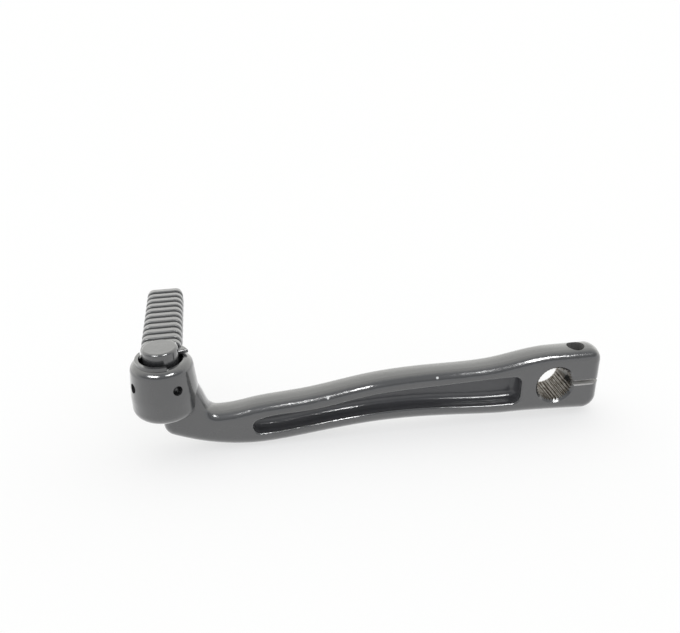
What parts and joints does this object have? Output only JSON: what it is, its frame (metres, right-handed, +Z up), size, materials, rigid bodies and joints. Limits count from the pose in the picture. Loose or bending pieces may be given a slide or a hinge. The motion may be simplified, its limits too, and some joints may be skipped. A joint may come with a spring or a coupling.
{
  "type": "kick start lever",
  "caption": "Folding kick start lever: S-curved forged arm with a splined pinch clamp at one end and a ribbed fold-out foot pedal with a ball detent at the other.",
  "frame": {"origin": "middle of the splined bore, on its axis", "axes": "+X along the arm from the barrel towards the clamp's slit end, +Y along the bore away from the engine, +Z up"},
  "size_m": [0.1828, 0.0696, 0.0432],
  "materials": {
    "black_paint": "gloss black paint over forged steel",
    "bright_steel": "plain steel"
  },
  "bodies": {
    "arm": {"lever_arm": "black_paint"},
    "pedal": {"foot_pedal": "black_paint", "detent_spring": "bright_steel"},
    "detent": {"detent_ball": "bright_steel"}
  },
  "joints": [
    {"name": "pedal_fold", "type": "hinge", "parent": "arm", "child": "pedal", "pos_m": [-0.1512, -0.002, 0.0154], "axis": [0, 0, 1], "range_deg": [-90, 0]},
    {"name": "detent_slide", "type": "slide", "parent": "pedal", "child": "detent", "axis": [0.4848, -0.8746, 0], "range_m": [-0.0003, 0.0004], "stiffness_N_per_m": 2000, "springref_m": 0.0004, "deforming": ["detent_spring"]}
  ]
}
